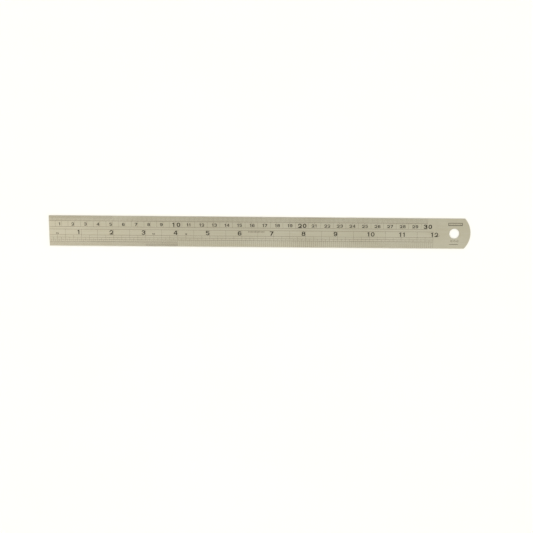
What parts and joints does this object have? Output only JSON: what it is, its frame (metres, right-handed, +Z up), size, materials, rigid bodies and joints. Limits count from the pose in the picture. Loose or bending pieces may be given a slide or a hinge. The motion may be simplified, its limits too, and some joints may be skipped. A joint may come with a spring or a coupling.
{
  "type": "steel ruler",
  "caption": "Flat satin steel ruler with a square zero end, a rounded end with a hanging hole, and etched metric and inch scales filled with black enamel.",
  "frame": {"origin": "where both scales read zero: the middle of the width at the square zero end, on the underside", "axes": "+X along both scales, from the zero end to the rounded end, so x in millimetres is the metric reading; +Y across the width, to the metric edge; +Z up, out of the graduated face"},
  "size_m": [0.3346, 0.024, 0.0008],
  "materials": {
    "steel": "satin stainless steel with a fine grain along the strip",
    "enamel": "satin black enamel baked into the etching"
  },
  "bodies": {
    "root": {"blade": "steel", "metric_guide_lines": "enamel", "half_millimetre_marks": "enamel", "millimetre_marks": "enamel", "five_millimetre_marks": "enamel", "centimetre_marks": "enamel", "centimetre_numerals": "enamel", "decimetre_numerals": "enamel", "inch_guide_lines": "enamel", "sixty_fourth_inch_marks": "enamel", "thirty_second_inch_marks": "enamel", "sixteenth_inch_marks": "enamel", "eighth_inch_marks": "enamel", "quarter_inch_marks": "enamel", "half_inch_marks": "enamel", "inch_marks": "enamel", "inch_numerals": "enamel", "division_labels": "enamel", "emblem": "enamel", "grade_bars": "enamel", "size_symbols": "enamel"}
  },
  "joints": []
}
